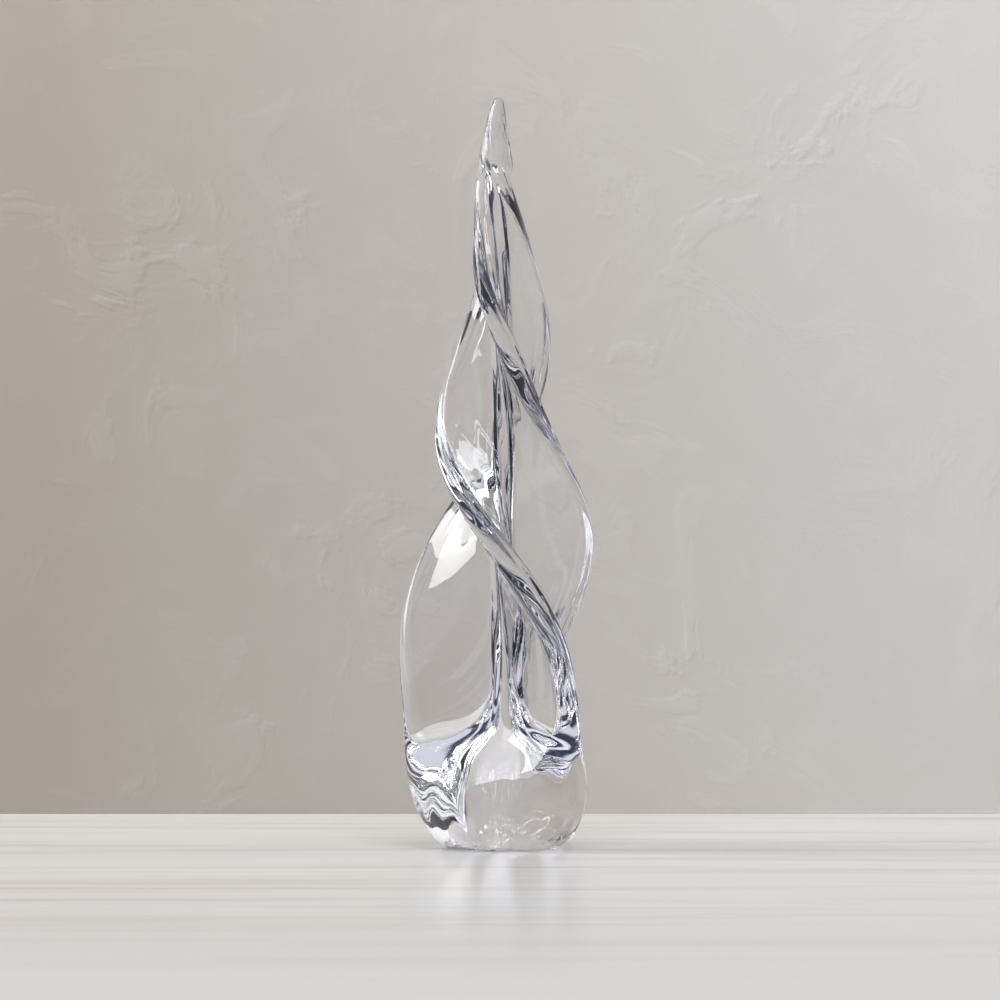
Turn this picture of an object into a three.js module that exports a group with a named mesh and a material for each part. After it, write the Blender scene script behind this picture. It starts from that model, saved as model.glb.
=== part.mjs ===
import * as THREE from "three";

// Clear glass tree: a solid drawn to a point, with three deep flutes that leave three fins round a slender
// trunk, all turned about the upright axis. Millimetres, +Z up, origin in the middle of the flat underside.
// Angles are in degrees from the front (-Y), growing towards the right (+X).

const HEIGHT = 400;
const JOINT_GAP = 0.3;
const BASE_TOP = 72;
const TIP_BOTTOM = 330;
const LEVEL_STEP = 6;

// Where each fin meets the base, as a turn from the back fin.
const FIN_TURN = { back: 0, left: 119, right: 242 };

// Turn of the back fin at each height: slow in the base, then about a degree for each millimetre.
const TWIST = [
  [0, 167], [45, 166], [80, 161], [120, 144], [160, 115], [200, 75], [240, 33],
  [280, -8], [300, -30], [325, -54], [345, -77], [363, -101], [380, -123], [400, -145],
];

// Distance of each fin's edge from the axis. All three share the foot and the tip.
const FOOT_RADIUS = [[0, 31], [4, 36], [10, 40.5], [17, 44.6], [26, 48.6], [36, 51.4], [48, 53]];
const TIP_RADIUS = [[350, 11.8], [365, 9.3], [377, 7.3], [386, 5.8], [391, 4.9], [396, 3.6], [400, 2.2]];
const FIN_RADIUS = {
  back: [[80, 55], [120, 58], [160, 52.5], [200, 39], [240, 28.8], [280, 25.5], [320, 16.5]],
  left: [[80, 54.5], [120, 55.5], [160, 50], [200, 43], [240, 35.5], [280, 26.8], [320, 17.2]],
  right: [[80, 54], [120, 56], [160, 52.5], [200, 43.5], [240, 34], [280, 23], [320, 17.3]],
};

// Half of a fin's thickness at its rim and at its thin web, and the length over which its edge is rounded.
const RIM_HALF = [[0, 8], [60, 8], [155, 7.5], [276, 5.7], [345, 4.2], [370, 3.6], [400, 3]];
const WEB_HALF = [
  [0, 8], [50, 7.6], [70, 6.6], [95, 5], [155, 4.4], [276, 3.5], [345, 2.6], [400, 2],
];
const EDGE_ROUND = [
  [0, 11], [20, 14], [40, 14], [60, 10], [90, 6.4], [155, 4.6], [276, 3.4], [345, 2.8], [370, 5], [400, 5],
];
const TAPER = 1.4;

// The round stem that the fins stand on, and the fillet between the two.
const STEM_RADIUS = [
  [0, 8], [80, 7.4], [120, 6.8], [200, 6.3], [290, 5.3], [325, 4.9], [365, 4.6], [400, 4.6],
];
const STEM_LIMIT = 0.97;
const STEM_FILLET = 1.2;

// Distance of a flute's bottom from the axis, where the stem leaves it free: the foot is filled.
const FLUTE_RADIUS = [
  [0, 30], [4, 34], [10, 36.8], [17, 38.3], [25, 38.6], [32, 37], [40, 33.2], [48, 27], [55, 20.6],
  [63, 15.2], [73, 11.4], [85, 8.6], [100, 6.5], [125, 4.8], [160, 4], [400, 3],
];

// Height at which each fin's web starts to grow, so that the flutes run out into the solid tip.
const RUN_OUT = { back: 363, left: 354, right: 359 };
const RUN_SLOPE = 0.56;
const RUN_BLEND = 5;
const RUN_END = 1.5;
const CAP_FILLET = 0.3;

// The drawn-out point leans a little to the left.
const TIP_LEAN = [
  [0, 0], [260, 0], [310, -0.8], [340, -2.2], [364, -3.6], [388, -3], [400, -1.8],
];

const TRUNK_SHARE = 1.25;
const RIM_SHARE = 1.35;
const DEGREE = Math.PI / 180;

// A smooth curve through [height, value] pairs, straight at both ends.
function curve(pairs) {
  const x = pairs.map((pair) => pair[0]);
  const y = pairs.map((pair) => pair[1]);
  const last = x.length - 1;
  const bend = new Array(last + 1).fill(0);
  const carry = new Array(last + 1).fill(0);
  for (let i = 1; i < last; i += 1) {
    const before = x[i] - x[i - 1];
    const after = x[i + 1] - x[i];
    const share = before / (before + after);
    const pivot = share * bend[i - 1] + 2;
    const slope = (y[i + 1] - y[i]) / after - (y[i] - y[i - 1]) / before;
    bend[i] = (share - 1) / pivot;
    carry[i] = ((6 * slope) / (before + after) - share * carry[i - 1]) / pivot;
  }
  bend[last] = 0;
  for (let i = last - 1; i >= 0; i -= 1) {
    bend[i] = bend[i] * bend[i + 1] + carry[i];
  }
  return (at) => {
    const place = Math.min(Math.max(at, x[0]), x[last]);
    let i = 0;
    while (i < last - 1 && place > x[i + 1]) {
      i += 1;
    }
    const step = x[i + 1] - x[i];
    const a = (x[i + 1] - place) / step;
    const b = (place - x[i]) / step;
    const bow = (a ** 3 - a) * bend[i] + (b ** 3 - b) * bend[i + 1];
    return a * y[i] + b * y[i + 1] + (bow * step * step) / 6;
  };
}

const twist = curve(TWIST);
const rimHalf = curve(RIM_HALF);
const webHalf = curve(WEB_HALF);
const stemRadius = curve(STEM_RADIUS);
const edgeRound = curve(EDGE_ROUND);
const fluteRadius = curve(FLUTE_RADIUS);
const tipLean = curve(TIP_LEAN);
const finRadius = {};
for (const name of Object.keys(FIN_TURN)) {
  finRadius[name] = curve([...FOOT_RADIUS, ...FIN_RADIUS[name], ...TIP_RADIUS]);
}

// The larger of two values, with the corner between them rounded off.
function softMax(a, b, fillet) {
  return (a + b + Math.hypot(a - b, fillet)) / 2;
}

// The smaller of two values, with the corner between them rounded off.
function softMin(a, b, fillet) {
  return (a + b - Math.hypot(a - b, fillet)) / 2;
}

// Half the thickness of a fin's web, before any limit.
function webOf(name, z) {
  return webHalf(z) + RUN_SLOPE * softMax(z - RUN_OUT[name], 0, RUN_BLEND);
}

// One side of one fin at one height, between the flute's middle (inner) and the fin's edge (outer). A flute
// is a hyperbola with the faces of its two fins as its sides. A point is its distances along and across.
function finSide(name, z, { halfAngle, fins }) {
  const outer = finRadius[name](z);
  const least = Math.min(...Object.values(finRadius).map((radius) => radius(z)));
  const sine = Math.sin(halfAngle);
  const cosine = Math.cos(halfAngle);
  const limit = Math.max(0.985 * least * sine - 0.15, 0.1);
  const web = softMin(webOf(name, z), limit, RUN_END);
  const rim = Math.max(Math.min(rimHalf(z), 0.5 * outer), web);
  const thickest = softMin(Math.max(...fins.map((fin) => webOf(fin, z))), limit, RUN_END);
  const flute = Math.max(Math.min(fluteRadius(z), 0.985 * outer), (thickest + 0.15) / sine);
  const stem = Math.min(stemRadius(z), STEM_LIMIT * least);
  const fillet = Math.min(STEM_FILLET, 0.3 * (least - stem));
  const spread = (flute * sine - web) / cosine;
  const inner = flute * cosine;
  const round = Math.min(edgeRound(z), 0.85 * (outer - inner));
  const edge = outer - round;
  const bow = (cosine * cosine) / sine;
  const lead = sine * sine - bow * bow;
  const point = (distance) => {
    const s = distance - (web * cosine) / sine;
    const root = s * s * sine * sine - lead * (s * s - bow * bow * spread * spread);
    const across = Math.max((s * sine - Math.sqrt(Math.max(root, 0))) / lead, 0);
    const flat = web + cosine * (Math.hypot(across, spread) - across);
    const taper = THREE.MathUtils.clamp((distance - stem) / (edge - stem), 0, 1) ** TAPER;
    const past = Math.max(distance - edge, 0) / round;
    const half = (flat + (rim - web) * taper) * Math.sqrt(Math.max(1 - past * past, 0));
    const reach = Math.hypot(distance, half);
    const grown = softMin(softMax(reach, stem, fillet), outer, CAP_FILLET) / reach;
    return [distance * grown, half * grown];
  };
  return { inner, outer, edge, round, point, rim, trunkEnd: TRUNK_SHARE * softMax(flute, stem, fillet) };
}

// A fin's two flutes, before and after it, each with half of the angle that it spans.
function flutesOf(name) {
  const names = Object.keys(FIN_TURN);
  const at = names.indexOf(name);
  const before = names[(at + 2) % 3];
  const after = names[(at + 1) % 3];
  const turn = (from, to) => (((FIN_TURN[to] - FIN_TURN[from] + 360) % 360) * DEGREE) / 2;
  return {
    before: { fins: [before, name], halfAngle: turn(before, name) },
    after: { fins: [name, after], halfAngle: turn(name, after) },
  };
}

// A point given along and across a fin, in the part's own axes.
function place(name, z, along, across) {
  const angle = (twist(z) + FIN_TURN[name]) * DEGREE;
  const x = along * Math.sin(angle) + across * Math.cos(angle) + tipLean(z);
  const y = across * Math.sin(angle) - along * Math.cos(angle);
  return new THREE.Vector3(x, y, z);
}

// Distances along a fin, closer together near the flute.
function spaced(from, to, count) {
  return Array.from({ length: count + 1 }, (_, i) => from + (to - from) * (i / count) ** 1.5);
}

// Distances over a fin's rounded edge, closer together towards its end.
function rounded(side, count) {
  return Array.from({ length: count + 1 }, (_, i) => {
    const swing = Math.sin((i / count) * (Math.PI / 2));
    return side.edge + side.round * swing;
  });
}

function rimStart(side) {
  return side.outer - RIM_SHARE * side.rim;
}

// The whole outline at one height, for the base and the tip.
function wholeRing(z, faceCount, edgeCount) {
  const ring = [];
  for (const name of Object.keys(FIN_TURN)) {
    const flutes = flutesOf(name);
    const walk = (flute) => {
      const side = finSide(name, z, flute);
      const face = spaced(side.inner, side.edge, faceCount);
      return [...face, ...rounded(side, edgeCount).slice(1)].map(side.point);
    };
    const up = walk(flutes.before);
    const down = walk(flutes.after).reverse();
    up.slice(0, -1).forEach(([along, half]) => ring.push(place(name, z, along, -half)));
    down.slice(0, -1).forEach(([along, half]) => ring.push(place(name, z, along, half)));
  }
  return { points: ring, turned: ring.map(() => false) };
}

// The trunk's outline: the stem and its fillets, joined by flat faces where the fins stand.
function trunkRing(z, count) {
  const ring = [];
  for (const name of Object.keys(FIN_TURN)) {
    const flutes = flutesOf(name);
    const walk = (flute) => {
      const side = finSide(name, z, flute);
      const stop = side.trunkEnd - JOINT_GAP / 2;
      return spaced(side.inner, stop, count).map(side.point);
    };
    const up = walk(flutes.before);
    const down = walk(flutes.after).reverse();
    up.forEach(([along, half]) => ring.push(place(name, z, along, -half)));
    down.slice(0, -1).forEach(([along, half]) => ring.push(place(name, z, along, half)));
  }
  return { points: ring, turned: ring.map(() => false) };
}

// A closed outline of one fin between two distances from the axis. Its inner face is split the other way,
// so that it lies along the face of the piece inside it.
function finRing(name, z, distancesOf) {
  const flutes = flutesOf(name);
  const walk = (flute, way) => {
    const side = finSide(name, z, flute);
    return distancesOf(side).map(side.point).map(([along, half]) => place(name, z, along, way * half));
  };
  const low = walk(flutes.before, -1);
  const high = walk(flutes.after, 1);
  const closed = low[low.length - 1].distanceTo(high[high.length - 1]) < 1e-6;
  const back = closed ? high.slice(0, -1).reverse() : [...high].reverse();
  const points = [...low, ...back];
  const turned = points.map((_, i) => i === points.length - 1);
  return { points, turned };
}

// A closed body through rings of points from the bottom up, its ends closed round their middles.
function loft(rings) {
  const size = rings[0].points.length;
  const corners = rings.flatMap((ring) => ring.points);
  const index = [];
  for (let i = 0; i + 1 < rings.length; i += 1) {
    for (let j = 0; j < size; j += 1) {
      const next = (j + 1) % size;
      const [a, b] = [i * size + j, i * size + next];
      const [c, d] = [b + size, a + size];
      if (rings[i].turned[j]) {
        index.push(a, b, d, b, c, d);
      } else {
        index.push(a, b, c, a, c, d);
      }
    }
  }
  const middle = (ring) => {
    const sum = new THREE.Vector3();
    ring.points.forEach((point) => sum.add(point));
    return sum.divideScalar(size);
  };
  const bottom = corners.push(middle(rings[0])) - 1;
  const top = corners.push(middle(rings[rings.length - 1])) - 1;
  const first = (rings.length - 1) * size;
  for (let j = 0; j < size; j += 1) {
    const next = (j + 1) % size;
    index.push(bottom, next, j, top, first + j, first + next);
  }
  const geometry = new THREE.BufferGeometry().setFromPoints(corners);
  geometry.setIndex(index);
  geometry.computeVertexNormals();
  return geometry;
}

const glass = new THREE.MeshStandardMaterial({
  color: 0xe9eff1,
  roughness: 0.02,
  metalness: 0,
  transparent: true,
  opacity: 0.35,
});

const tree = new THREE.Group();
tree.name = "glass_tree";

function add(name, rings) {
  const mesh = new THREE.Mesh(loft(rings), glass);
  mesh.name = name;
  tree.add(mesh);
}

const wallBottom = BASE_TOP + JOINT_GAP / 2;
const wallTop = TIP_BOTTOM - JOINT_GAP / 2;
const stepCount = Math.round((wallTop - wallBottom) / LEVEL_STEP);
const wallLevels = Array.from(
  { length: stepCount + 1 },
  (_, i) => wallBottom + ((wallTop - wallBottom) * i) / stepCount,
);

const baseLevels = [0, 2, 5, 9, 14, 20, 27, 34, 41, 47, 53, 59, 65, BASE_TOP - JOINT_GAP / 2];
add("base", baseLevels.map((z) => wholeRing(z, 6, 5)));

add("trunk", wallLevels.map((z) => trunkRing(z, 6)));

for (const name of Object.keys(FIN_TURN)) {
  const wall = (side) => {
    const from = side.trunkEnd + JOINT_GAP / 2;
    const to = rimStart(side) - JOINT_GAP / 2;
    return spaced(from, to, 4);
  };
  const edge = (side) => [rimStart(side) + JOINT_GAP / 2, ...rounded(side, 5)];
  add(`${name}_fin`, wallLevels.map((z) => finRing(name, z, wall)));
  add(`${name}_rim`, wallLevels.map((z) => finRing(name, z, edge)));
}

const tipLevels = [
  TIP_BOTTOM + JOINT_GAP / 2, 336, 342, 347, 351, 354, 357, 360, 363, 366, 369, 372, 376, 381, 386, 391, 395,
  398, 399.3, HEIGHT,
];
add("tip", tipLevels.map((z) => wholeRing(z, 5, 4)));

export default tree;
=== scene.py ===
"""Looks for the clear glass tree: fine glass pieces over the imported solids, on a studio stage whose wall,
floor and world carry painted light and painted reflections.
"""

import functools
import math
from types import SimpleNamespace

import bpy
import numpy as np
from bpy.props import FloatProperty, FloatVectorProperty, PointerProperty
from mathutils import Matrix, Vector


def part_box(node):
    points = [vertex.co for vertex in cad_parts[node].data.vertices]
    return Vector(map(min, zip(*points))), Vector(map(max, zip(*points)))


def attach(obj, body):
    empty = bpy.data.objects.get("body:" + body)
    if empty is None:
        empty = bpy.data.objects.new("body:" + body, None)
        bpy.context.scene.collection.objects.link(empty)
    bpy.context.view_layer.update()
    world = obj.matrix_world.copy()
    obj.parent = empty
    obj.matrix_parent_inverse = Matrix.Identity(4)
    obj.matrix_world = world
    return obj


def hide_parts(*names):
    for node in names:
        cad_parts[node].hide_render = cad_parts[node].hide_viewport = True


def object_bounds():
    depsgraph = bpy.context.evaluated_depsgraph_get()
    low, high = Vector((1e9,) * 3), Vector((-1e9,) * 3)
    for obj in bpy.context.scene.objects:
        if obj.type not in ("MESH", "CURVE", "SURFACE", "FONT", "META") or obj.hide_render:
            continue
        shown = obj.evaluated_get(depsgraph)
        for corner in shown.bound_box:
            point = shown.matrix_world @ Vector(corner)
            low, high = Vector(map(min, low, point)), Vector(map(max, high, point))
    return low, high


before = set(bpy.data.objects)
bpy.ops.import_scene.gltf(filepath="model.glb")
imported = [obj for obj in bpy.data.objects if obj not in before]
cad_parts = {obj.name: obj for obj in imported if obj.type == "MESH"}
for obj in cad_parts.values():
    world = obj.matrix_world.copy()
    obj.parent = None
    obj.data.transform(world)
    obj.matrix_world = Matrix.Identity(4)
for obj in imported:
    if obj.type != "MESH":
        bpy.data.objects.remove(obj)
CAD_BOX = [list(corner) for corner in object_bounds()]

bl_info = {
    "name": "Glass tree",
    "version": (1, 0, 0),
    "blender": (4, 5, 0),
    "location": "View3D > Sidebar > Glass tree",
    "description": "Makes the pieces of a clear glass tree and the stage that it stands on",
    "category": "Object",
}

MM = 0.001
BODY = "root"
# The floor lies this far below the underside, so that the two are never in one plane.
AIR_FILM = 0.0004

# Painted reflections: what rays that the glass has turned back inside it see of the stage, in place of the
# lit stage: rings on the floor by the distance from the axis, stripes on the wall by a wave of STRIPE_STEP
# metres, and bands of the room by a ray's rise. They stand for the dark and bright parts of a studio, and
# paint the dark and bright streaks in the glass.
PAINTED_DARK, PAINTED_NAVY = (0.006, 0.005, 0.007, 1), (0.008, 0.015, 0.05, 1)
PAINTED_PALE, PAINTED_WHITE = (0.66, 0.66, 0.75, 1), (0.95, 0.95, 1.0, 1)
PAINTED_REFLECTION_RINGS = (
    (0.0, PAINTED_PALE), (0.022, PAINTED_PALE), (0.029, PAINTED_NAVY), (0.038, PAINTED_NAVY), (0.043, PAINTED_WHITE), (0.048, PAINTED_PALE), (0.054, PAINTED_NAVY),
    (0.085, PAINTED_NAVY), (0.10, PAINTED_PALE), (0.13, PAINTED_PALE), (0.15, PAINTED_DARK), (0.20, PAINTED_DARK), (0.215, PAINTED_PALE), (0.25, PAINTED_PALE),
    (0.27, PAINTED_DARK), (0.5, PAINTED_DARK),
)
RING_REACH = PAINTED_REFLECTION_RINGS[-1][0]
PAINTED_REFLECTION_STRIPES = ((0.0, PAINTED_DARK), (0.60, PAINTED_DARK), (0.68, PAINTED_PALE), (1.0, PAINTED_PALE))
STRIPE_STEP = 0.13
PAINTED_REFLECTION_BANDS = ((0.15, PAINTED_NAVY), (0.22, PAINTED_DARK), (0.37, PAINTED_DARK), (0.45, PAINTED_PALE))
# A painted highlight, a white patch on the floor for the same rays: its bearing in degrees from the wall
# towards the right, the least cosine to that bearing, and its near and far edge.
PAINTED_HIGHLIGHT_AT, PAINTED_HIGHLIGHT_SIDE, PAINTED_HIGHLIGHT_NEAR, PAINTED_HIGHLIGHT_FAR = -158, 0.88, 0.12, 0.75
# Painted highlights, white windows that glow only through the glass and are no lamps: bearing, least cosine
# to it, and lowest and highest rise.
PAINTED_HIGHLIGHT_WINDOWS = ((157, 0.70, 0.40, 0.72), (-152, 0.88, -0.02, 0.12))

# The floor as the camera sees it: warm streaks, and the even tone that it fades to between two distances.
FLOOR_REACH = 40
STREAK_TONE = (0.90, 0.84, 0.77)
FAR_TONE = (0.69, 0.68, 0.66, 1)
FAR_FROM, FAR_TO = 0.35, 0.9
# The wall: half its width, its distance and height, its darkest and palest tone, and how they are spread;
# the tone runs from dark on the left to pale on the right, a painted light falloff.
WALL_SIDE, WALL_BACK, WALL_TOP = 0.32, 0.291, 0.5
WALL_PAINTED_LIGHT_LEVELS = ((0.80, 0.76, 0.73), (1.35, 1.38, 1.44))
WALL_SLOPE, WALL_MIDDLE = 1.75, 0.49
# How much the trowel marks change the tone, and painted shade on their relief: the marks minus the same
# marks shifted aside, lighter on one slope and darker on the other.
MARK_TONE, MARK_LEVEL, PAINTED_RELIEF_SHADE = 0.10, 0.055, 0.7
PAINTED_SHADE_SHIFT = (-0.0015, 0, 0.0015)
# The room and its ceiling, by a ray's rise.
ROOM_TONE, CEILING_TONE = (0.45, 0.43, 0.41, 1), (0.015, 0.013, 0.016, 1)
ROOM_TOP, CEILING_START = 0.10, 0.18
LIGHT_TARGET = (0, 0, 0.2)
FILL_TONE = (0.90, 0.94, 1.0)
SENSOR = 36
# How many widths of the picture one metre fills at the glass, and the camera's place aside and in height.
VIEW_SCALE = 1.872
CAMERA_X, CAMERA_Z = -0.0013, 0.1852
# Light goes through many faces of glass before it comes out again.
PATH_BOUNCES, GLOSSY_BOUNCES, CLEAR_BOUNCES = 24, 12, 96

# The glass tree's own curves, as (height, value) pairs in millimetres and degrees, as in the solids.
FIN_TURN = {"back": 0, "left": 119, "right": 242}
FIN_NAMES = tuple(FIN_TURN)
FIN_COUNT = len(FIN_NAMES)
TWIST = (
    (0, 167), (45, 166), (80, 161), (120, 144), (160, 115), (200, 75), (240, 33),
    (280, -8), (300, -30), (325, -54), (345, -77), (363, -101), (380, -123), (400, -145),
)
FOOT_RADIUS = ((0, 31), (4, 36), (10, 40.5), (17, 44.6), (26, 48.6), (36, 51.4), (48, 53))
TIP_RADIUS = ((350, 11.8), (365, 9.3), (377, 7.3), (386, 5.8), (391, 4.9), (396, 3.6), (400, 2.2))
FIN_RADIUS = {
    "back": ((80, 55), (120, 58), (160, 52.5), (200, 39), (240, 28.8), (280, 25.5), (320, 16.5)),
    "left": ((80, 54.5), (120, 55.5), (160, 50), (200, 43), (240, 35.5), (280, 26.8), (320, 17.2)),
    "right": ((80, 54), (120, 56), (160, 52.5), (200, 43.5), (240, 34), (280, 23), (320, 17.3)),
}
RIM_HALF = ((0, 8), (60, 8), (155, 7.5), (276, 5.7), (345, 4.2), (370, 3.6), (400, 3))
WEB_HALF = ((0, 8), (50, 7.6), (70, 6.6), (95, 5), (155, 4.4), (276, 3.5), (345, 2.6), (400, 2))
STEM_RADIUS = ((0, 8), (80, 7.4), (120, 6.8), (200, 6.3), (290, 5.3), (325, 4.9), (365, 4.6), (400, 4.6))
EDGE_ROUND = (
    (0, 11), (20, 14), (40, 14), (60, 10), (90, 6.4), (155, 4.6), (276, 3.4), (345, 2.8), (370, 5), (400, 5),
)
FLUTE_RADIUS = (
    (0, 30), (4, 34), (10, 36.8), (17, 38.3), (25, 38.6), (32, 37), (40, 33.2), (48, 27), (55, 20.6),
    (63, 15.2), (73, 11.4), (85, 8.6), (100, 6.5), (125, 4.8), (160, 4), (400, 3),
)
RUN_OUT = {"back": 363, "left": 354, "right": 359}
RUN_SLOPE, RUN_BLEND, RUN_END = 0.56, 5, 1.5
STEM_LIMIT, STEM_FILLET, CAP_FILLET, TAPER = 0.97, 1.2, 0.3, 1.4
FLUTE_LIMIT, WEB_GAP, WEB_LEAST = 0.985, 0.15, 0.1
RIM_LIMIT, ROUND_LIMIT, FILLET_LIMIT = 0.5, 0.85, 0.3
GROOVE_AT, GROOVE_WIDTH, GROOVE_DEPTH = 0.4, 0.22, 0.12
GROOVE_FROM, GROOVE_TO = (60, 110), (335, 360)
TIP_LEAN = ((0, 0), (260, 0), (310, -0.8), (340, -2.2), (364, -3.6), (388, -3), (400, -1.8))

# Points along one side of a fin: over the trunk, over the wall, up to the rounding and round the edge.
TRUNK_POINTS, WALL_POINTS, RIM_POINTS, ROUND_POINTS = 12, 22, 4, 24
TRUNK_STATION = TRUNK_POINTS
RIM_STATION = TRUNK_POINTS + WALL_POINTS
EDGE_STATION = RIM_STATION + RIM_POINTS + ROUND_POINTS
FIN_SPAN = 2 * EDGE_STATION
RING = FIN_COUNT * FIN_SPAN
# Radius of the roundings, heights up to and from which the rings lie closer, and the steps between them.
FOOT_ROUND, TIP_ROUND = 1.0, 1.2
FOOT_TOP, POINT_START = 8, 390
FOOT_STEP, FINE_STEP, TIP_STEP, POINT_STEP = 0.25, 0.5, 1.0, 0.2

# Radius that the pattern of pull lines is stretched to at every height.
PULL_RADIUS = 50
# Slow waves of hand working, as turns for each millimetre and a start; they fade in and out between heights.
WAVES = (
    ((0.041, 0.022, 0.011), 0.4), ((-0.028, 0.051, -0.014), 2.1),
    ((0.057, -0.036, 0.019), 4.4), ((0.013, 0.064, 0.027), 5.2),
)
WAVE_FROM, WAVE_TO = (2, 14), (385, 396)
# Heights in metres between which the foot's ripples set in, and between which they fade out.
RIPPLE_FROM, RIPPLE_TO = (0.0004, 0.0015), (0.003, 0.010)


class GlassTreeShape(bpy.types.PropertyGroup):
    """Sizes of the glass pieces that are not read from the curves."""

    height: FloatProperty(
        name="Height", description="From the underside to the tip",
        default=CAD_BOX[1][2] - CAD_BOX[0][2], unit="LENGTH", subtype="DISTANCE",
    )
    base_top: FloatProperty(
        name="Base joint", description="Height at which the base goes over into the trunk and fins",
        default=(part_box("base")[1].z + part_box("trunk")[0].z) / 2, unit="LENGTH", subtype="DISTANCE",
    )
    tip_bottom: FloatProperty(
        name="Tip joint", description="Height at which the trunk and fins go over into the tip",
        default=(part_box("trunk")[1].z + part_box("tip")[0].z) / 2, unit="LENGTH", subtype="DISTANCE",
    )
    level_step: FloatProperty(
        name="Level step", description="Height between two rings of points",
        default=0.0015, unit="LENGTH", subtype="DISTANCE",
    )
    trunk_share: FloatProperty(
        name="Trunk share", description="Where the trunk ends, as a share of the flute's radius",
        default=1.25, subtype="FACTOR",
    )
    rim_share: FloatProperty(
        name="Rim share", description="Depth of a rim, as a share of half the fin's thickness",
        default=1.35, subtype="FACTOR",
    )
    wave_height: FloatProperty(
        name="Wave height", description="Height of the slow waves that hand working leaves in the surface",
        default=0.00006, unit="LENGTH", subtype="DISTANCE",
    )


class GlassTreeFinish(bpy.types.PropertyGroup):
    """The clear glass."""

    tint: FloatVectorProperty(
        name="Tint", description="Colour that the glass lets through",
        default=(0.985, 0.99, 1.0), size=3, subtype="COLOR",
    )
    bend: FloatProperty(
        name="Refraction", description="Index of refraction of the glass", default=1.52, subtype="FACTOR",
    )
    pull_depth: FloatProperty(
        name="Pull lines", description="Depth of the fine lines left by drawing the glass out",
        default=0.00005, unit="LENGTH", subtype="DISTANCE",
    )
    foot_depth: FloatProperty(
        name="Foot ripples",
        description="Depth of the ripples round the foot, where the glass was set down hot",
        default=0.0009, unit="LENGTH", subtype="DISTANCE",
    )
    haze: FloatProperty(
        name="Haze", description="Roughness of the faint film on the surface",
        default=0.012, subtype="FACTOR",
    )


class GlassTreeStage(bpy.types.PropertyGroup):
    """Floor, wall, light and camera."""

    floor_color: FloatVectorProperty(
        name="Floor", description="Colour of the pale floor",
        default=(0.74, 0.73, 0.71), size=3, subtype="COLOR",
    )
    wall_color: FloatVectorProperty(
        name="Wall", description="Colour of the plain wall behind",
        default=(0.54, 0.513, 0.478), size=3, subtype="COLOR",
    )
    key_power: FloatProperty(
        name="Key", description="Power of the light on the left", default=14.5, unit="POWER",
    )
    fill_power: FloatProperty(
        name="Fill", description="Power of the light on the right", default=7, unit="POWER",
    )
    top_power: FloatProperty(
        name="Top", description="Power of the large light overhead", default=15, unit="POWER",
    )
    camera_distance: FloatProperty(
        name="Camera distance", description="From the camera to the middle of the glass", default=2.8,
        unit="LENGTH", subtype="DISTANCE",
    )


def curve(pairs):
    """A smooth curve through (height, value) pairs, straight at both ends."""
    x, y = np.array(pairs, float).T
    step = np.diff(x)
    rows = np.eye(len(x))
    turn = np.zeros(len(x))
    for i in range(1, len(x) - 1):
        rows[i, i - 1:i + 2] = step[i - 1], 2 * (step[i - 1] + step[i]), step[i]
        turn[i] = 6 * ((y[i + 1] - y[i]) / step[i] - (y[i] - y[i - 1]) / step[i - 1])
    bend = np.linalg.solve(rows, turn)

    def value(at):
        at = np.clip(np.asarray(at, float), x[0], x[-1])
        i = np.clip(np.searchsorted(x, at) - 1, 0, len(step) - 1)
        a, b = (x[i + 1] - at) / step[i], (at - x[i]) / step[i]
        bow = (a ** 3 - a) * bend[i] + (b ** 3 - b) * bend[i + 1]
        return a * y[i] + b * y[i + 1] + bow * step[i] ** 2 / 6

    return value


def smooth_step(at, low, high):
    """0 below low, 1 above high and smooth between."""
    t = np.clip((at - low) / (high - low), 0, 1)
    return t * t * (3 - 2 * t)


def soft_max(a, b, fillet):
    """The larger of two values, with the corner between them rounded off."""
    return (a + b + np.hypot(a - b, fillet)) / 2


def soft_min(a, b, fillet):
    """The smaller of two values, with the corner between them rounded off."""
    return (a + b - np.hypot(a - b, fillet)) / 2


twist = curve(TWIST)
rim_half = curve(RIM_HALF)
web_half = curve(WEB_HALF)
edge_round = curve(EDGE_ROUND)
flute_radius = curve(FLUTE_RADIUS)
stem_radius = curve(STEM_RADIUS)
tip_lean = curve(TIP_LEAN)
fin_radius = {name: curve(FOOT_RADIUS + FIN_RADIUS[name] + TIP_RADIUS) for name in FIN_NAMES}


def flutes_of(name):
    """The flutes before and after a fin, each as its name and half of the angle that it spans."""
    at = FIN_NAMES.index(name)
    before, after = FIN_NAMES[at - 1], FIN_NAMES[(at + 1) % FIN_COUNT]

    def half_angle(first, second):
        return math.radians((FIN_TURN[second] - FIN_TURN[first]) % 360) / 2

    return (before, half_angle(before, name)), (name, half_angle(name, after))


def web_of(name, z):
    """Half the thickness of a fin's web, which grows at the top until the flutes run out."""
    return web_half(z) + RUN_SLOPE * soft_max(z - RUN_OUT[name], 0, RUN_BLEND)


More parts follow.
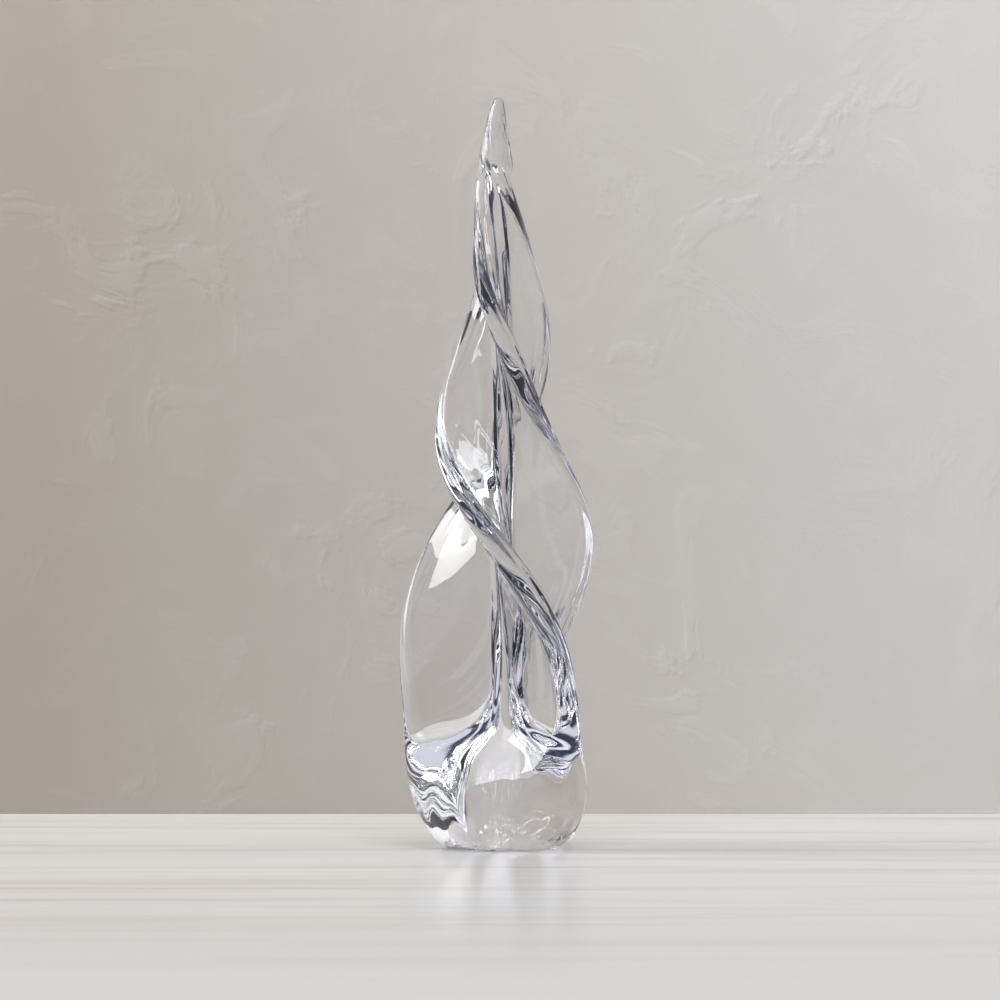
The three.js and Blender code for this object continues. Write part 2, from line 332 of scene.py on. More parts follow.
def side_spans(name, flute, angle, z, shape):
    """Sizes across one side of a fin: stem, flute, web, rim and edge, and where trunk and rim are parted."""
    outer = fin_radius[name](z)
    least = np.min([fin_radius[fin](z) for fin in FIN_NAMES], axis=0)
    limit = np.maximum(FLUTE_LIMIT * least * math.sin(angle) - WEB_GAP, WEB_LEAST)
    web = soft_min(web_of(name, z), limit, RUN_END)
    rim = np.maximum(np.minimum(rim_half(z), RIM_LIMIT * outer), web)
    neighbours = (flute, FIN_NAMES[(FIN_NAMES.index(flute) + 1) % FIN_COUNT])
    thickest = soft_min(np.maximum(*(web_of(fin, z) for fin in neighbours)), limit, RUN_END)
    stem = np.minimum(stem_radius(z), STEM_LIMIT * least)
    deepest = np.minimum(flute_radius(z), FLUTE_LIMIT * outer)
    depth = np.maximum(deepest, (thickest + WEB_GAP) / math.sin(angle))
    inner = depth * math.cos(angle)
    rounding = np.minimum(edge_round(z), ROUND_LIMIT * (outer - inner))
    fillet = np.minimum(STEM_FILLET, FILLET_LIMIT * (least - stem))
    return SimpleNamespace(
        outer=outer, rim=rim, web=web, stem=stem, depth=depth, inner=inner, rounding=rounding, fillet=fillet,
        trunk_end=shape.trunk_share * soft_max(depth, stem, fillet), rim_start=outer - shape.rim_share * rim,
    )


def side_outline(name, flute, angle, levels, shape):
    """One side of a fin at every level: distances from the axis, and half thicknesses there."""
    span = side_spans(name, flute, angle, levels, shape)
    low, high = shape.base_top / MM, shape.tip_bottom / MM
    wall = side_spans(name, flute, angle, np.clip(levels, low, high), shape)
    reach = wall.outer - wall.rounding - wall.inner
    trunk_share = (wall.trunk_end - wall.inner) / reach
    rim_share = (wall.rim_start - wall.inner) / reach
    stops = np.stack([0 * reach, trunk_share, rim_share, 0 * reach + 1], axis=1)
    parts = []
    for part, count in enumerate((TRUNK_POINTS, WALL_POINTS, RIM_POINTS)):
        share = np.arange(count) / count
        parts.append(stops[:, part, None] * (1 - share) + stops[:, part + 1, None] * share)
    face = np.concatenate(parts, axis=1)
    along = span.inner[:, None] + (span.outer - span.rounding - span.inner)[:, None] * face
    swing = np.sin(np.arange(ROUND_POINTS + 1) / ROUND_POINTS * math.pi / 2)
    edge = (span.outer - span.rounding)[:, None] + span.rounding[:, None] * swing
    along = np.concatenate([along, edge], axis=1)

    sine, cosine = math.sin(angle), math.cos(angle)
    web = span.web[:, None]
    spread = (span.depth[:, None] * sine - web) / cosine
    bow = cosine ** 2 / sine
    lead = sine ** 2 - bow ** 2
    s = along - web * cosine / sine
    root = np.sqrt(np.maximum((s * sine) ** 2 - lead * (s ** 2 - (bow * spread) ** 2), 0))
    across = np.maximum((s * sine - root) / lead, 0)
    face = web + cosine * (np.hypot(across, spread) - across)

    edge_start, stem = (span.outer - span.rounding)[:, None], span.stem[:, None]
    taper = np.clip((along - stem) / (edge_start - stem), 0, 1) ** TAPER
    face = face + (span.rim[:, None] - web) * taper
    past = np.maximum(along - edge_start, 0) / span.rounding[:, None]
    half = face * np.sqrt(np.maximum(1 - past ** 2, 0))

    reach = np.hypot(along, half)
    grown = soft_max(reach, stem, span.fillet[:, None])
    grown = soft_min(grown, span.outer[:, None], CAP_FILLET) / reach
    return along * grown, half * grown


def sheet_levels(shape):
    """Heights of the rings, with one on each joint and more of them at the foot and the tip."""
    step, top = shape.level_step / MM, shape.height / MM
    stops = (
        (0, FOOT_STEP), (FOOT_ROUND, FINE_STEP), (FOOT_TOP, step), (shape.base_top / MM, step),
        (shape.tip_bottom / MM, TIP_STEP), (POINT_START, FINE_STEP), (top - TIP_ROUND, POINT_STEP),
        (top, None),
    )
    levels = []
    for (low, gap), (high, _) in zip(stops, stops[1:]):
        count = max(1, round((high - low) / gap))
        levels.extend(low + (high - low) * i / count for i in range(count))
    return np.array(levels + [stops[-1][0]])


@functools.lru_cache(maxsize=1)
def whole_sheet(*sizes):
    """The whole outer surface as rings of points at rising levels, with its normals and its pull lines."""
    names = list(GlassTreeShape.__annotations__)
    shape = SimpleNamespace(**dict(zip(names, sizes)))
    levels = sheet_levels(shape)
    along, across, turn = [], [], []
    for name in FIN_NAMES:
        (before, before_angle), (after, after_angle) = flutes_of(name)
        up_along, up_half = side_outline(name, before, before_angle, levels, shape)
        down_along, down_half = side_outline(name, after, after_angle, levels, shape)
        along.append(np.concatenate([up_along[:, :-1], down_along[:, :0:-1]], axis=1))
        across.append(np.concatenate([-up_half[:, :-1], down_half[:, :0:-1]], axis=1))
        turn.append(np.full(FIN_SPAN, math.radians(FIN_TURN[name])))
    along, across = np.concatenate(along, axis=1), np.concatenate(across, axis=1)
    turn = np.concatenate(turn)

    flat_x = along * np.sin(turn) + across * np.cos(turn)
    flat_y = across * np.sin(turn) - along * np.cos(turn)
    rounding = np.ones(len(levels))
    for size, depth in ((FOOT_ROUND, FOOT_ROUND - levels), (TIP_ROUND, levels - levels[-1] + TIP_ROUND)):
        share = np.clip(depth / size, 0, 1)
        rounding -= size * (1 - np.sqrt(1 - share ** 2)) / np.hypot(flat_x, flat_y).max(axis=1)
    flat_x, flat_y = flat_x * rounding[:, None], flat_y * rounding[:, None]
    angle = np.radians(twist(levels))[:, None]
    points = np.stack([
        flat_x * np.cos(angle) - flat_y * np.sin(angle) + tip_lean(levels)[:, None],
        flat_x * np.sin(angle) + flat_y * np.cos(angle),
        np.broadcast_to(levels[:, None], flat_x.shape),
    ], axis=2)

    scale = PULL_RADIUS / np.mean([fin_radius[name](levels) for name in FIN_NAMES], axis=0)[:, None]
    pull = np.stack([flat_x * scale, flat_y * scale, points[:, :, 2]], axis=2)
    slow = sum(np.sin(2 * math.pi * (pull @ np.array(way)) + start) for way, start in WAVES)
    fade = smooth_step(levels, *WAVE_FROM) * (1 - smooth_step(levels, *WAVE_TO))
    shift = slow * shape.wave_height / MM * fade[:, None]
    points = points + surface_normals(points) * (shift - rim_groove(levels))[:, :, None]
    return SimpleNamespace(
        points=points.reshape(-1, 3) * MM, pull=pull.reshape(-1, 3) * MM,
        normals=surface_normals(points).reshape(-1, 3), rows=len(levels),
        base_row=int(np.argmin(abs(levels - shape.base_top / MM))),
        tip_row=int(np.argmin(abs(levels - shape.tip_bottom / MM))),
    )


def rim_groove(levels):
    """Depth of the shallow groove that runs along each rim, beside its edge."""
    column = np.arange(RING) % FIN_SPAN - EDGE_STATION
    across = np.exp(-((column / ROUND_POINTS - GROOVE_AT) / GROOVE_WIDTH) ** 2)
    along = smooth_step(levels, *GROOVE_FROM) * (1 - smooth_step(levels, *GROOVE_TO))
    return (GROOVE_DEPTH * rim_half(levels) * along)[:, None] * across


def surface_normals(points):
    """Outward normals of rings of points; the first and the last ring go over into flat ends."""
    round_ring = np.roll(points, -1, axis=1) - np.roll(points, 1, axis=1)
    normals = np.cross(round_ring, np.gradient(points, axis=0))
    normals[0], normals[-1] = (0, 0, -1), (0, 0, 1)
    return normals / np.linalg.norm(normals, axis=2, keepdims=True)


def current_sheet(context):
    """The whole surface for the sizes that are set now."""
    shape = context.scene.glass_tree_shape
    return whole_sheet(*(getattr(shape, name) for name in GlassTreeShape.__annotations__))


class PieceMesh:
    """One closed piece cut out of the whole surface: its skin, and the joint faces where it is fused on."""

    SKIN, JOINT = 0, 1

    def __init__(self, sheet):
        self.sheet = sheet
        self.faces, self.slots, self.normals = [], [], []

    def add(self, faces, slot, normals):
        """Faces with one material and a normal for each of their corners."""
        self.faces.extend(map(tuple, faces.tolist()))
        self.slots.extend([slot] * len(faces))
        self.normals.append(normals.reshape(-1, 3))

    def skin(self, columns, rows):
        """The outer surface over a run of columns, from one row up to another."""
        left, right = np.array(columns[:-1]) % RING, np.array(columns[1:]) % RING
        low = np.arange(*rows)[:, None] * RING
        faces = np.stack([low + left, low + right, low + RING + right, low + RING + left], axis=2)
        faces = faces.reshape(-1, 4)
        self.add(faces, self.SKIN, self.sheet.normals[faces])

    def joint_wall(self, first, second, rows, inward):
        """A joint face from one column to another, facing away from the axis or inward."""
        low = np.arange(*rows) * RING
        a, b = low + first % RING, low + second % RING
        order = (a, a + RING, b + RING, b) if inward else (a, b, b + RING, a + RING)
        self.add_flat(np.stack(order, axis=1), self.JOINT)

    def add_flat(self, faces, slot):
        """Faces that are shaded flat."""
        corner = self.sheet.points[faces]
        normal = np.cross(corner[:, 2] - corner[:, 0], corner[:, -1] - corner[:, 1])
        if faces.shape[1] == 3:
            normal = np.cross(corner[:, 1] - corner[:, 0], corner[:, 2] - corner[:, 0])
        normal = normal / np.maximum(np.linalg.norm(normal, axis=1, keepdims=True), 1e-15)
        self.add(faces, slot, np.repeat(normal, faces.shape[1], axis=0))

    def end(self, fin, stations, row, up, slot):
        """A level face across one fin between two stations, at one row."""
        near = np.arange(*stations)
        before, after = FIN_SPAN * fin + near, FIN_SPAN * (fin + 1) - near
        faces = np.stack([before, before + 1, after - 1, after], axis=1) % RING + row * RING
        if not up:
            faces = faces[:, ::-1]
        if stations[1] == EDGE_STATION:
            last = faces[-1:][:, [0, 1, 3]] if up else faces[-1:][:, [0, 2, 3]]
            self.add_flat(last, slot)
            faces = faces[:-1]
        self.add_flat(faces, slot)

    def core(self, row, up, slot):
        """The level face between the three flutes' middles."""
        corners = [FIN_SPAN * fin + row * RING for fin in range(FIN_COUNT)]
        self.add_flat(np.array([corners if up else corners[::-1]]), slot)

    def whole_end(self, last, row, up, slot):
        """A level face over the middle and all fins, out to one station."""
        self.core(row, up, slot)
        for fin in range(FIN_COUNT):
            self.end(fin, (0, last), row, up, slot)

    def build(self, name, materials):
        """The piece as an object in the scene."""
        used = sorted({corner for face in self.faces for corner in face})
        place = {corner: i for i, corner in enumerate(used)}
        mesh = bpy.data.meshes.new(name)
        corners = self.sheet.points[used]
        mesh.from_pydata(corners.tolist(), [], [tuple(place[c] for c in face) for face in self.faces])
        mesh.polygons.foreach_set("material_index", self.slots)
        mesh.polygons.foreach_set("use_smooth", [True] * len(self.faces))
        pull = mesh.attributes.new("pull", "FLOAT_VECTOR", "POINT")
        pull.data.foreach_set("vector", self.sheet.pull[used].astype(np.float32).ravel())
        for material in materials:
            mesh.materials.append(material)
        mesh.normals_split_custom_set(np.concatenate(self.normals).tolist())
        if mesh.validate():
            raise RuntimeError(f"{name}: the mesh has faults")
        piece = bpy.data.objects.new(name, mesh)
        bpy.context.scene.collection.objects.link(piece)
        return piece


class Wire:
    """A node's output socket; sums on it add Math nodes."""

    def __init__(self, tree, socket=None):
        self.tree, self.socket = tree, socket

    def node(self, kind, settings=None, values=None, output=0):
        """A new node with its settings, then its sockets' values or links; gives one of its outputs."""
        node = self.tree.nodes.new(kind)
        for key, value in (settings or {}).items():
            if key == "stops":
                ramp = node.color_ramp.elements
                while len(ramp) < len(value):
                    ramp.new(0.5)
                for element, (at, color) in zip(ramp, value):
                    element.position, element.color = at, color
            else:
                setattr(node, key, value)
        for key, value in (values or {}).items():
            if isinstance(value, Wire):
                self.tree.links.new(value.socket, node.inputs[key])
            else:
                node.inputs[key].default_value = value
        return Wire(self.tree, node.outputs[output] if node.outputs else None)

    def math(self, operation, *terms):
        """A Math node on values or links."""
        return self.node("ShaderNodeMath", {"operation": operation}, dict(enumerate(terms)))

    def __add__(self, other):
        return self.math("ADD", self, other)

    def __sub__(self, other):
        return self.math("SUBTRACT", self, other)

    def __rsub__(self, other):
        return self.math("SUBTRACT", other, self)

    def __mul__(self, other):
        return self.math("MULTIPLY", self, other)

    __radd__ = __add__
    __rmul__ = __mul__


def new_nodes(name):
    """An empty node material, and the wire that its nodes come from."""
    material = bpy.data.materials.new(name)
    material.use_nodes = True
    material.cycles.emission_sampling = "NONE"
    material.node_tree.nodes.clear()
    return material, Wire(material.node_tree)


def color4(color):
    """A colour with full alpha, as sockets and ramps take it."""
    return (*color, 1.0)


@functools.lru_cache(maxsize=1)
def clear_glass():
    """Fire-polished clear glass with fine lines along the pull, ripples round the foot and a faint film."""
    finish = bpy.context.scene.glass_tree_finish
    material, wire = new_nodes("clear_glass")
    pull = wire.node("ShaderNodeAttribute", {"attribute_name": "pull"}, output="Vector")

    def stretched(scale):
        return wire.node("ShaderNodeVectorMath", {"operation": "MULTIPLY"}, {0: pull, 1: scale})

    lines = wire.node("ShaderNodeTexNoise", None, {
        "Vector": stretched((190, 190, 14)), "Scale": 1.0, "Detail": 1.5, "Roughness": 0.45,
    }, "Fac")
    ripple = wire.node("ShaderNodeTexNoise", None, {
        "Vector": stretched((70, 70, 30)), "Scale": 1.0, "Detail": 2.0, "Roughness": 0.5,
    }, "Fac")
    bump = wire.node("ShaderNodeBump", None, {
        "Strength": 1.0, "Distance": finish.pull_depth, "Height": lines + ripple * 0.6,
    })
    grain = wire.node("ShaderNodeTexNoise", None, {
        "Vector": stretched((150, 150, 330)), "Scale": 1.0, "Detail": 2.0, "Roughness": 0.5,
    }, "Fac")
    height = wire.node("ShaderNodeSeparateXYZ", None, {"Vector": pull}, "Z")
    foot = wire.node("ShaderNodeMapRange", {"interpolation_type": "SMOOTHSTEP"}, {
        "Value": height, "From Min": RIPPLE_TO[0], "From Max": RIPPLE_TO[1], "To Min": 1.0, "To Max": 0.0,
    })
    above = wire.node("ShaderNodeMapRange", None, {
        "Value": height, "From Min": RIPPLE_FROM[0], "From Max": RIPPLE_FROM[1],
    })
    bump = wire.node("ShaderNodeBump", None, {
        "Strength": 1.0, "Distance": finish.foot_depth, "Height": grain * foot * above, "Normal": bump,
    })
    film = wire.node("ShaderNodeTexNoise", None, {
        "Vector": stretched((45, 45, 30)), "Scale": 1.0, "Detail": 4.0, "Roughness": 0.6,
    }, "Fac")
    glass = wire.node("ShaderNodeBsdfPrincipled", None, {
        "Base Color": color4(finish.tint), "Roughness": film * finish.haze, "IOR": finish.bend,
        "Transmission Weight": 1.0, "Normal": bump,
    })
    wire.node("ShaderNodeOutputMaterial", None, {"Surface": glass})
    return material


@functools.lru_cache(maxsize=1)
def fused_joint():
    """Where two pieces are fused there is no surface to see."""
    material, wire = new_nodes("fused_joint")
    clear = wire.node("ShaderNodeBsdfPrincipled", None, {"Alpha": 0.0})
    wire.node("ShaderNodeOutputMaterial", None, {"Surface": clear})
    return material


def put_in_place(piece_mesh, node):
    """Builds a piece, sets it over its solid and gives it the glass."""
    piece = piece_mesh.build(f"glass_{node}", (clear_glass(), fused_joint()))
    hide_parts(node)
    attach(piece, BODY)


class GLASSTREE_OT_base(bpy.types.Operator):
    """Make the heavy base with its flat underside"""

    bl_idname = "glasstree.base"
    bl_label = "Base"

    def execute(self, context):
        sheet = current_sheet(context)
        piece = PieceMesh(sheet)
        piece.skin(list(range(RING + 1)), (0, sheet.base_row))
        piece.whole_end(EDGE_STATION, 0, False, piece.SKIN)
        piece.whole_end(EDGE_STATION, sheet.base_row, True, piece.JOINT)
        put_in_place(piece, "base")
        return {"FINISHED"}


class GLASSTREE_OT_trunk(bpy.types.Operator):
    """Make the slender trunk between the fins"""

    bl_idname = "glasstree.trunk"
    bl_label = "Trunk"

    def execute(self, context):
        sheet = current_sheet(context)
        rows = (sheet.base_row, sheet.tip_row)
        piece = PieceMesh(sheet)
        for fin in range(FIN_COUNT):
            start, stop = FIN_SPAN * fin, FIN_SPAN * (fin + 1)
            piece.skin(list(range(start, start + TRUNK_STATION + 1)), rows)
            piece.skin(list(range(stop - TRUNK_STATION, stop + 1)), rows)
            piece.joint_wall(start + TRUNK_STATION, stop - TRUNK_STATION, rows, inward=False)
        for row, up in zip(rows, (False, True)):
            piece.whole_end(TRUNK_STATION, row, up, piece.JOINT)
        put_in_place(piece, "trunk")
        return {"FINISHED"}


class GLASSTREE_OT_fins(bpy.types.Operator):
    """Make the walls of the three twisted fins"""

    bl_idname = "glasstree.fins"
    bl_label = "Fins"

    def execute(self, context):
        sheet = current_sheet(context)
        rows = (sheet.base_row, sheet.tip_row)
        for fin, name in enumerate(FIN_NAMES):
            start, stop = FIN_SPAN * fin, FIN_SPAN * (fin + 1)
            piece = PieceMesh(sheet)
            piece.skin(list(range(start + TRUNK_STATION, start + RIM_STATION + 1)), rows)
            piece.skin(list(range(stop - RIM_STATION, stop - TRUNK_STATION + 1)), rows)
            piece.joint_wall(start + TRUNK_STATION, stop - TRUNK_STATION, rows, inward=True)
            piece.joint_wall(start + RIM_STATION, stop - RIM_STATION, rows, inward=False)
            for row, up in zip(rows, (False, True)):
                piece.end(fin, (TRUNK_STATION, RIM_STATION), row, up, piece.JOINT)
            put_in_place(piece, f"{name}_fin")
        return {"FINISHED"}


class GLASSTREE_OT_rims(bpy.types.Operator):
    """Make the rounded rims of the three fins"""

    bl_idname = "glasstree.rims"
    bl_label = "Rims"

    def execute(self, context):
        sheet = current_sheet(context)
        rows = (sheet.base_row, sheet.tip_row)
        for fin, name in enumerate(FIN_NAMES):
            start, stop = FIN_SPAN * fin, FIN_SPAN * (fin + 1)
            piece = PieceMesh(sheet)
            piece.skin(list(range(start + RIM_STATION, stop - RIM_STATION + 1)), rows)
            piece.joint_wall(start + RIM_STATION, stop - RIM_STATION, rows, inward=True)
            for row, up in zip(rows, (False, True)):
                piece.end(fin, (RIM_STATION, EDGE_STATION), row, up, piece.JOINT)
            put_in_place(piece, f"{name}_rim")
        return {"FINISHED"}


class GLASSTREE_OT_tip(bpy.types.Operator):
    """Make the drawn-out tip"""

    bl_idname = "glasstree.tip"
    bl_label = "Tip"

    def execute(self, context):
        sheet = current_sheet(context)
        piece = PieceMesh(sheet)
        last = sheet.rows - 1
        piece.skin(list(range(RING + 1)), (sheet.tip_row, last))
        piece.whole_end(EDGE_STATION, sheet.tip_row, False, piece.JOINT)
        piece.whole_end(EDGE_STATION, last, True, piece.SKIN)
        put_in_place(piece, "tip")
        return {"FINISHED"}


def stage_plane(name, corners, material):
    """A flat face of the stage, which is no part of the glass."""
    mesh = bpy.data.meshes.new(name)
    mesh.from_pydata(corners, [], [tuple(range(len(corners)))])
    mesh.materials.append(material)
    plane = bpy.data.objects.new(name, mesh)
    bpy.context.scene.collection.objects.link(plane)
    return plane


def path_share(wire, *outputs):
    """How far a ray is of any of these kinds, from 0 to 1."""
    kinds = [wire.node("ShaderNodeLightPath", output=output) for output in outputs]
    return wire.math("MINIMUM", sum(kinds[1:], kinds[0]), 1.0)


def turned_rays(wire):
    """1 for rays that have gone through glass and been mirrored, as those turned back inside it have."""
    return path_share(wire, "Glossy Depth") * path_share(wire, "Transmission Depth")


def facing(wire, way, bearing):
    """Cosine of the angle between a direction and a level bearing, in degrees from the wall to the right."""
    turn = math.radians(bearing)
    return wire.node("ShaderNodeVectorMath", {"operation": "DOT_PRODUCT"}, {
        0: way, 1: (math.sin(turn), math.cos(turn), 0),
    }, "Value")


def between(wire, value, low, high):
    """1 where a value lies between two limits, and 0 elsewhere."""
    return wire.math("GREATER_THAN", value, low) * wire.math("LESS_THAN", value, high)


def shown_as(wire, shader, color, share, kind="ShaderNodeEmission"):
    """A shader that shows one even colour to a share of the rays."""
    even = wire.node(kind, None, {"Color": color, "Strength": 1.0})
    return wire.node("ShaderNodeMixShader", None, {0: share, 1: shader, 2: even})


def floor_stone(color):
    """Pale stone with faint warm streaks, even and pale far off, with painted reflections for turned rays:
    dark and bright rings and a painted white highlight.
    """
    material, wire = new_nodes("pale_stone")
    place = wire.node("ShaderNodeTexCoord", output="Object")
    spread = wire.node("ShaderNodeVectorMath", {"operation": "MULTIPLY"}, {0: place, 1: (1.5, 14.0, 1.0)})
    streak = wire.node("ShaderNodeTexNoise", None, {"Vector": spread, "Scale": 1.6, "Detail": 5.0}, "Fac")
    warm = color4([part * level for part, level in zip(color, STREAK_TONE)])
    tone = wire.node("ShaderNodeValToRGB", {"stops": ((0.47, color4(color)), (0.66, warm))}, {"Fac": streak})
    stone = wire.node("ShaderNodeBsdfPrincipled", None, {"Base Color": tone, "Roughness": 0.25})
    reach = wire.node("ShaderNodeVectorMath", {"operation": "LENGTH"}, {0: place}, "Value")
    far = wire.node("ShaderNodeMapRange", {"interpolation_type": "SMOOTHSTEP"}, {
        "Value": reach, "From Min": FAR_FROM, "From Max": FAR_TO,
    })
    seen = path_share(wire, "Is Camera Ray", "Is Glossy Ray", "Is Transmission Ray")
    stone = shown_as(wire, stone, FAR_TONE, far * seen)
    # Painted reflections: turned rays see dark and bright rings in place of the lit floor.
    stops = tuple((at / RING_REACH, shade) for at, shade in PAINTED_REFLECTION_RINGS)
    painted_rings = wire.node("ShaderNodeValToRGB", {"stops": stops}, {"Fac": reach * (1 / RING_REACH)})
    turned = turned_rays(wire)
    stone = shown_as(wire, stone, painted_rings, turned)
    # A painted highlight: a white patch on the floor that only turned rays see.
    way = wire.node("ShaderNodeVectorMath", {"operation": "NORMALIZE"}, {0: place})
    sheet = wire.math("GREATER_THAN", facing(wire, way, PAINTED_HIGHLIGHT_AT), PAINTED_HIGHLIGHT_SIDE)
    sheet = sheet * between(wire, reach, PAINTED_HIGHLIGHT_NEAR, PAINTED_HIGHLIGHT_FAR)
    stone = shown_as(wire, stone, PAINTED_WHITE, turned * sheet)
    wire.node("ShaderNodeOutputMaterial", None, {"Surface": stone})
    return material


def wall_plaster(color):
    """Trowelled plaster with painted light: paler to the right, painted shade on the trowel relief, and
    painted reflection stripes for turned rays; from behind it hides nothing.
    """
    material, wire = new_nodes("plaster_with_painted_light")
    place = wire.node("ShaderNodeTexCoord", output="Object")

    def trowel_marks(shift):
        at = wire.node("ShaderNodeVectorMath", {"operation": "ADD"}, {0: place, 1: shift})
        broad = wire.node("ShaderNodeTexNoise", None, {
            "Vector": at, "Scale": 16.0, "Detail": 5.0, "Roughness": 0.6, "Distortion": 1.4,
        }, "Fac")
        edge = wire.node("ShaderNodeMapRange", {"interpolation_type": "SMOOTHSTEP"}, {
            "Value": broad, "From Min": 0.52, "From Max": 0.60,
        })
        return broad + edge * 0.25

    marks = trowel_marks((0, 0, 0))
    patches = wire.node("ShaderNodeTexNoise", None, {"Vector": place, "Scale": 7.0, "Detail": 2.0}, "Fac")
    patches = wire.node("ShaderNodeMapRange", {"interpolation_type": "SMOOTHSTEP"}, {
        "Value": patches, "From Min": 0.45, "From Max": 0.70,
    })
    # Painted shade on the trowel relief: the marks minus the same marks shifted aside.
    painted_relief_shade = (marks - trowel_marks(PAINTED_SHADE_SHIFT)) * patches
    bump = wire.node("ShaderNodeBump", None, {"Strength": 0.1, "Distance": 0.003, "Height": marks})
    right = wire.node("ShaderNodeSeparateXYZ", None, {"Vector": place}, "X")
    # Painted light falloff: the wall is darker to the left and paler to the right.
    low, high = (color4([part * level for part, level in zip(color, levels)]) for levels in WALL_PAINTED_LIGHT_LEVELS)
    tone = wire.node("ShaderNodeValToRGB", {"stops": ((0.0, low), (1.0, high))}, {
        "Fac": right * WALL_SLOPE + WALL_MIDDLE + marks * MARK_TONE - MARK_LEVEL + painted_relief_shade * PAINTED_RELIEF_SHADE,
    })
    plaster = wire.node("ShaderNodeBsdfPrincipled", None, {
        "Base Color": tone, "Roughness": 0.9, "Normal": bump,
    })
    # Painted reflections: turned rays see dark and pale stripes in place of the lit wall.
    stripe = wire.math("SINE", right * (2 * math.pi / STRIPE_STEP)) * 0.5 + 0.5
    painted_stripes = wire.node("ShaderNodeValToRGB", {"stops": PAINTED_REFLECTION_STRIPES}, {"Fac": stripe})
    plaster = shown_as(wire, plaster, painted_stripes, turned_rays(wire))
    behind = wire.node("ShaderNodeNewGeometry", output="Backfacing")
    clear = wire.node("ShaderNodeBsdfTransparent")
    shown = wire.node("ShaderNodeMixShader", None, {0: behind, 1: plaster, 2: clear})
    wire.node("ShaderNodeOutputMaterial", None, {"Surface": shown})
    return material


def soft_light(name, target, bearing, distance, size, power, color=(1, 1, 1)):
    """A softbox that faces target, placed by its turn from +X and its rise over the horizon, in degrees."""
    turn, rise = map(math.radians, bearing)
    away = Vector((math.cos(turn) * math.cos(rise), math.sin(turn) * math.cos(rise), math.sin(rise)))
    light = bpy.data.lights.new(name, "AREA")
    light.shape = "RECTANGLE"
    light.size, light.size_y = size
    light.energy, light.color = power, color
    lamp = bpy.data.objects.new(name, light)
    lamp.location = target + away * distance
    lamp.rotation_euler = (-away).to_track_quat("-Z", "Y").to_euler()
    lamp.visible_camera = False
    bpy.context.scene.collection.objects.link(lamp)
    return lamp


def studio_world(scene):
    """A pale room up to a little above eye level and a dark ceiling, with painted reflections in the glass:
    the room pale all over for outside glossy rays, bands for turned rays, and white windows as painted
    highlights.
    """
    world = bpy.data.worlds.new("studio")
    world.use_nodes = True
    world.node_tree.nodes.clear()
    wire = Wire(world.node_tree)
    way = wire.node("ShaderNodeTexCoord", output="Generated")
    height = wire.node("ShaderNodeSeparateXYZ", None, {"Vector": way}, "Z")
    tone = wire.node("ShaderNodeValToRGB", {"stops": (
        (0.0, ROOM_TONE), (ROOM_TOP, ROOM_TONE), (CEILING_START, CEILING_TONE),
    )}, {"Fac": height})
    shown = wire.node("ShaderNodeBackground", None, {"Color": tone, "Strength": 1.0})
    # Painted reflections: glossy rays that have not gone through the glass see the room pale all over, the
    # ceiling too, and turned rays see dark and bright bands.
    outside = path_share(wire, "Is Glossy Ray") * (1 - path_share(wire, "Transmission Depth"))
    painted_bands = wire.node("ShaderNodeValToRGB", {"stops": PAINTED_REFLECTION_BANDS}, {"Fac": height})
    layers = [(PAINTED_PALE, outside), (painted_bands, turned_rays(wire))]
    # Painted highlights: white windows that only rays through the glass see; they are no lamps.
    for bearing, side, low, high in PAINTED_HIGHLIGHT_WINDOWS:
        painted_window = wire.math("GREATER_THAN", facing(wire, way, bearing), side)
        painted_window = painted_window * between(wire, height, low, high) * path_share(wire, "Is Transmission Ray")
        layers.append((color4((1, 1, 1)), painted_window))
    for color, share in layers:
        shown = shown_as(wire, shown, color, share, "ShaderNodeBackground")
    wire.node("ShaderNodeOutputWorld", None, {"Surface": shown})
    scene.world = world


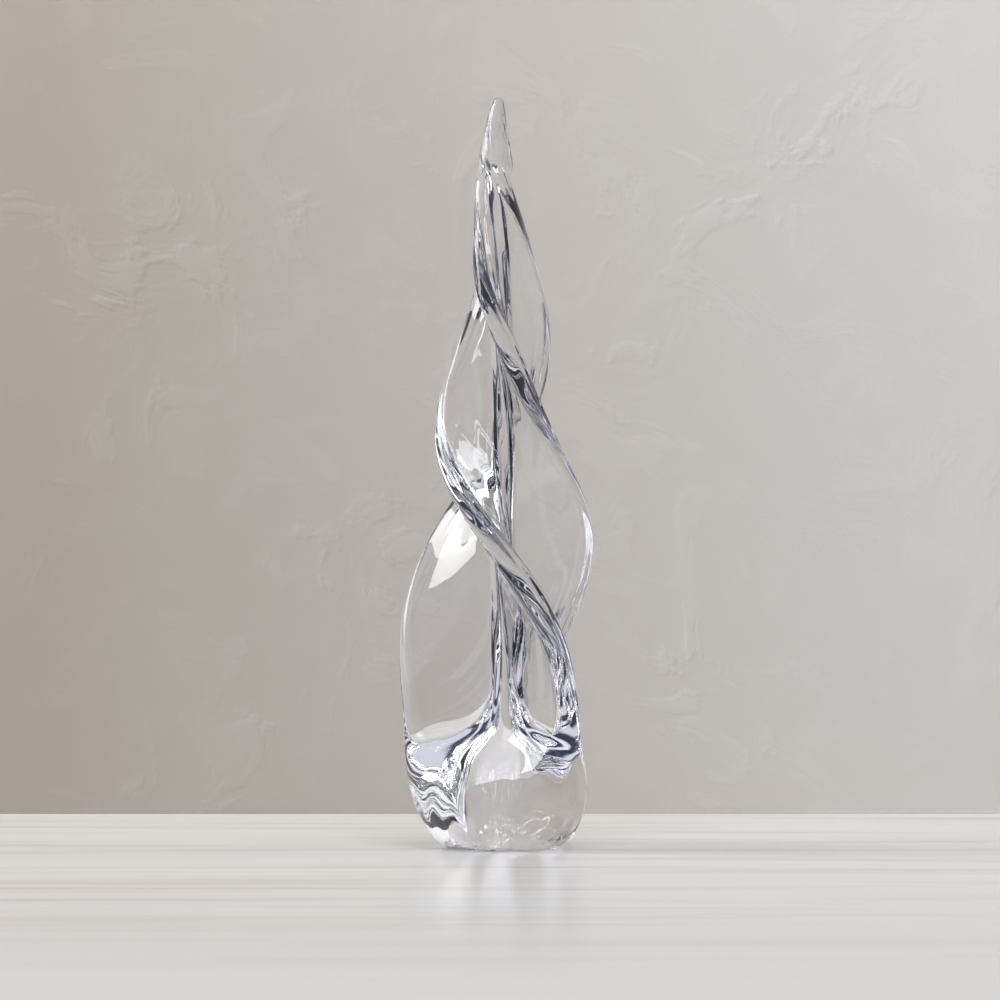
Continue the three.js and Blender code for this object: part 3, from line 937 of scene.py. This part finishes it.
class GLASSTREE_OT_stage(bpy.types.Operator):
    """Make the floor, the wall, the lights and the camera"""

    bl_idname = "glasstree.stage"
    bl_label = "Stage"

    def execute(self, context):
        scene = context.scene
        stage = scene.glass_tree_stage
        floor = [
            (x * FLOOR_REACH, y * FLOOR_REACH, -AIR_FILM) for x, y in ((-1, -1), (1, -1), (1, 1), (-1, 1))
        ]
        stage_plane("floor", floor, floor_stone(stage.floor_color))
        wall = [(x * WALL_SIDE, WALL_BACK, z * WALL_TOP) for x, z in ((-1, 0), (1, 0), (1, 1), (-1, 1))]
        wall = stage_plane("wall", wall, wall_plaster(stage.wall_color))
        wall.visible_shadow = False
        target = Vector(LIGHT_TARGET)
        soft_light(
            "key", target, bearing=(175, 34), distance=1.3, size=(0.85, 0.68), power=stage.key_power,
        )
        fill = soft_light(
            "fill", target, bearing=(4, 30), distance=1.3, size=(0.6, 0.6), power=stage.fill_power,
            color=FILL_TONE,
        )
        top = soft_light(
            "top", target, bearing=(-90, 62), distance=1.5, size=(0.9, 0.7), power=stage.top_power,
        )
        fill.visible_glossy = top.visible_glossy = top.visible_transmission = False
        studio_world(scene)

        lens = bpy.data.cameras.new("camera")
        lens.sensor_width = SENSOR
        lens.lens = SENSOR * stage.camera_distance * VIEW_SCALE
        camera = bpy.data.objects.new("camera", lens)
        camera.location = (CAMERA_X, -stage.camera_distance, CAMERA_Z)
        camera.rotation_euler = (math.pi / 2, 0, 0)
        scene.collection.objects.link(camera)
        scene.camera = camera
        scene.view_settings.view_transform = "Standard"
        scene.cycles.max_bounces = scene.cycles.transmission_bounces = PATH_BOUNCES
        scene.cycles.glossy_bounces = GLOSSY_BOUNCES
        scene.cycles.transparent_max_bounces = CLEAR_BOUNCES
        return {"FINISHED"}


OPERATORS = (
    GLASSTREE_OT_base, GLASSTREE_OT_trunk, GLASSTREE_OT_fins, GLASSTREE_OT_rims, GLASSTREE_OT_tip,
    GLASSTREE_OT_stage,
)


class GLASSTREE_PT_panel(bpy.types.Panel):
    """Sizes, colours and steps of the glass tree"""

    bl_label = "Glass tree"
    bl_idname = "GLASSTREE_PT_panel"
    bl_space_type = "VIEW_3D"
    bl_region_type = "UI"
    bl_category = "Glass tree"

    def draw(self, context):
        for group in GROUPS:
            settings = getattr(context.scene, GROUPS[group])
            for name in group.__annotations__:
                self.layout.prop(settings, name)
        for operator in OPERATORS:
            self.layout.operator(operator.bl_idname)


GROUPS = {
    GlassTreeShape: "glass_tree_shape",
    GlassTreeFinish: "glass_tree_finish",
    GlassTreeStage: "glass_tree_stage",
}
CLASSES = (*GROUPS, *OPERATORS, GLASSTREE_PT_panel)


def register():
    """Makes the classes and their settings known to Blender."""
    for kind in CLASSES:
        bpy.utils.register_class(kind)
    for group, name in GROUPS.items():
        setattr(bpy.types.Scene, name, PointerProperty(type=group))


def unregister():
    """Takes the settings and classes out again."""
    for name in GROUPS.values():
        delattr(bpy.types.Scene, name)
    for kind in reversed(CLASSES):
        bpy.utils.unregister_class(kind)


def main():
    """Makes the stage and the pieces."""
    register()
    bpy.ops.glasstree.stage()
    bpy.ops.glasstree.base()
    bpy.ops.glasstree.trunk()
    bpy.ops.glasstree.fins()
    bpy.ops.glasstree.rims()
    bpy.ops.glasstree.tip()


if __name__ == "__main__":
    main()
